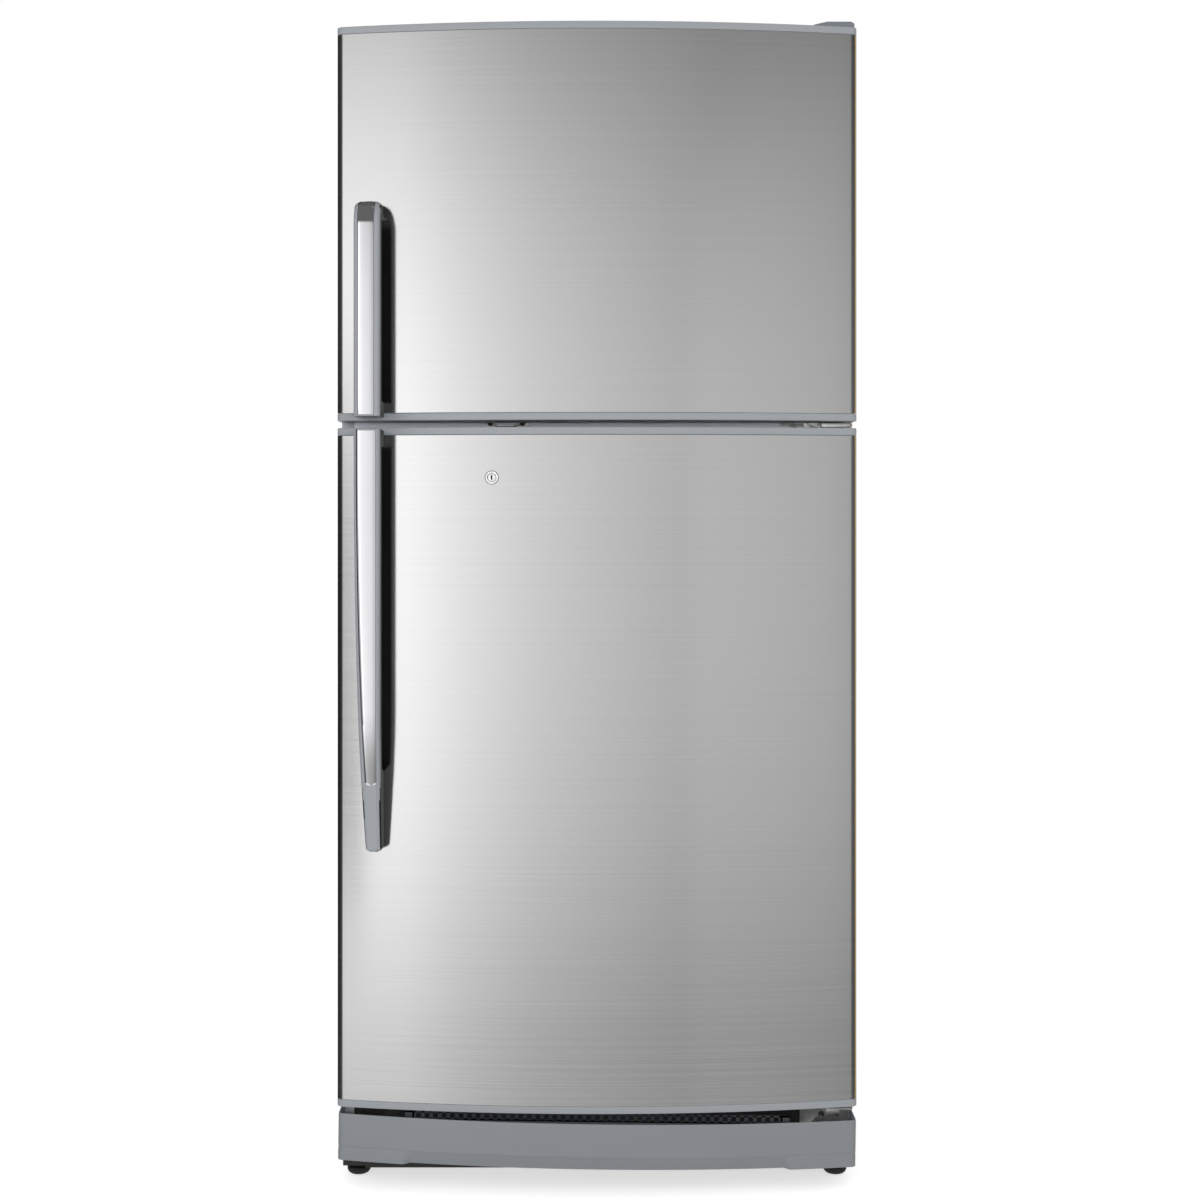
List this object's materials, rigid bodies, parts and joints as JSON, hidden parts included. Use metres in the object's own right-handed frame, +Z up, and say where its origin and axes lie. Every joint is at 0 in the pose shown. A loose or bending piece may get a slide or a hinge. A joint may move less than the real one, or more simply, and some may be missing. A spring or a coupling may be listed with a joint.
{
  "type": "top freezer refrigerator",
  "caption": "Free-standing two-door refrigerator with the freezer on top, bowed brushed steel doors, upright handles with chrome strips, drawers and shelves inside.",
  "frame": {"origin": "on the floor, in the middle of the outer box", "axes": "+Z up, doors and handles towards -Y, door hinges on the +X side"},
  "size_m": [0.76, 0.7402, 1.718],
  "materials": {
    "shell_paint": "satin grey paint",
    "rear_sheet": "galvanised sheet",
    "foam": "rigid insulating foam",
    "liner": "glossy white moulded liner",
    "mullion": "bluish grey satin",
    "hinge_steel": "grey plated steel",
    "screws": "blackened steel",
    "hinge_cover": "moulded grey",
    "trim": "satin grey moulding",
    "plinth": "satin grey moulding",
    "dark_plastic": "dark grained moulding",
    "frame_black": "black paint",
    "foot_rubber": "black",
    "coil": "bare fins and tubes",
    "clear_plastic": "clear moulded plastic",
    "shelf_glass": "toughened glass",
    "brushed_steel": "brushed sideways",
    "seal_rubber": "soft grey",
    "handle_silver": "silver lacquer",
    "chrome": "bright chrome",
    "lock_metal": "plated"
  },
  "bodies": {
    "cabinet": {"cabinet_shell": "shell_paint", "back_panel": "rear_sheet", "cabinet_foam": "foam", "freezer_liner": "liner", "fridge_liner": "liner", "mullion_cover": "mullion", "lock_strike": "hinge_steel", "top_hinge": "hinge_steel", "top_hinge_cover": "hinge_cover", "middle_hinge": "hinge_steel", "bottom_hinge": "hinge_steel", "hinge_screws": "screws", "base_frame": "frame_black", "plinth": "plinth", "plinth_grille": "dark_plastic", "compressor": "frame_black", "drip_pan": "dark_plastic", "machine_cover": "rear_sheet", "evaporator": "coil", "evaporator_cover": "liner", "fan_motor": "dark_plastic", "freezer_shelf": "liner", "ice_stand": "liner", "control_housing": "liner", "lamp_cover": "clear_plastic", "shelf_frames": "liner", "shelf_glass": "shelf_glass", "crisper_cover": "shelf_glass"},
    "freezer_door": {"freezer_door_skin": "brushed_steel", "freezer_top_cap": "trim", "freezer_bottom_cap": "trim", "freezer_door_foam": "foam", "freezer_door_liner": "liner", "freezer_seal": "seal_rubber", "freezer_bins": "clear_plastic", "freezer_handle": "handle_silver", "freezer_handle_strip": "chrome"},
    "fridge_door": {"fridge_door_skin": "brushed_steel", "fridge_top_cap": "trim", "fridge_bottom_cap": "trim", "fridge_door_foam": "foam", "fridge_door_liner": "liner", "fridge_seal": "seal_rubber", "fridge_bins": "clear_plastic", "fridge_handle": "handle_silver", "fridge_handle_strip": "chrome", "lock_body": "lock_metal"},
    "lock_cylinder": {"lock_core": "lock_metal"},
    "lock_latch": {"lock_bolt": "lock_metal"},
    "left_crisper": {"crisper_left": "clear_plastic"},
    "right_crisper": {"crisper_right": "clear_plastic"},
    "ice_drawer": {"ice_bin": "clear_plastic"},
    "turning_tray": {"ice_tray": "clear_plastic"},
    "temperature_knob": {"control_knob": "liner"},
    "door_switch": {"light_switch": "liner"},
    "fan": {"fan_blade": "dark_plastic"},
    "left_foot": {"foot_left": "foot_rubber"},
    "right_foot": {"foot_right": "foot_rubber"},
    "left_roller": {"roller_left": "foot_rubber"},
    "right_roller": {"roller_right": "foot_rubber"}
  },
  "joints": [
    {"name": "freezer_door_swing", "type": "hinge", "parent": "cabinet", "child": "freezer_door", "pos_m": [0.368, -0.28185, 1.123], "axis": [0, 0, 1], "range_deg": [0, 120]},
    {"name": "fridge_door_swing", "type": "hinge", "parent": "cabinet", "child": "fridge_door", "pos_m": [0.368, -0.28185, 0.122], "axis": [0, 0, 1], "range_deg": [0, 120]},
    {"name": "lock_turn", "type": "hinge", "parent": "fridge_door", "child": "lock_cylinder", "pos_m": [-0.152, -0.32385, 1.04], "axis": [0, -1, 0], "range_deg": [0, 90]},
    {"name": "lock_bolt_slide", "type": "slide", "parent": "fridge_door", "child": "lock_latch", "axis": [0, 0, 1], "range_m": [0, 0.007]},
    {"name": "left_crisper_slide", "type": "slide", "parent": "cabinet", "child": "left_crisper", "axis": [0, -1, 0], "range_m": [0, 0.19]},
    {"name": "right_crisper_slide", "type": "slide", "parent": "cabinet", "child": "right_crisper", "axis": [0, -1, 0], "range_m": [0, 0.19]},
    {"name": "ice_bin_slide", "type": "slide", "parent": "cabinet", "child": "ice_drawer", "axis": [0, -1, 0], "range_m": [0, 0.16]},
    {"name": "ice_tray_turn", "type": "hinge", "parent": "cabinet", "child": "turning_tray", "pos_m": [-0.238, -0.13885, 1.324], "axis": [0, 1, 0], "range_deg": [0, 150]},
    {"name": "temperature_turn", "type": "hinge", "parent": "cabinet", "child": "temperature_knob", "pos_m": [0, -0.19185, 1.064], "axis": [0, -1, 0], "range_deg": [0, 270]},
    {"name": "light_switch_slide", "type": "slide", "parent": "cabinet", "child": "door_switch", "axis": [0, -1, 0], "range_m": [0, 0.008]},
    {"name": "fan_spin", "type": "hinge", "parent": "cabinet", "child": "fan", "pos_m": [0, 0.24315, 1.544], "axis": [0, 1, 0], "continuous": true},
    {"name": "left_foot_turn", "type": "hinge", "parent": "cabinet", "child": "left_foot", "pos_m": [-0.357, -0.23185, 0], "axis": [0, 0, 1], "continuous": true},
    {"name": "right_foot_turn", "type": "hinge", "parent": "cabinet", "child": "right_foot", "pos_m": [0.357, -0.23185, 0], "axis": [0, 0, 1], "continuous": true},
    {"name": "left_roller_spin", "type": "hinge", "parent": "cabinet", "child": "left_roller", "pos_m": [-0.359, 0.29815, 0.02], "axis": [1, 0, 0], "continuous": true},
    {"name": "right_roller_spin", "type": "hinge", "parent": "cabinet", "child": "right_roller", "pos_m": [0.359, 0.29815, 0.02], "axis": [1, 0, 0], "continuous": true}
  ],
  "couplings": [
    {"joint": "lock_turn", "follows": "lock_bolt_slide", "rad_per_m": 222},
    {"joint": "left_crisper_slide", "follows": "fridge_door_swing", "m_per_rad": 0.09071},
    {"joint": "right_crisper_slide", "follows": "fridge_door_swing", "m_per_rad": 0.09071},
    {"joint": "light_switch_slide", "follows": "fridge_door_swing", "m_per_rad": 0.00381},
    {"joint": "ice_bin_slide", "follows": "freezer_door_swing", "m_per_rad": 0.07638}
  ]
}
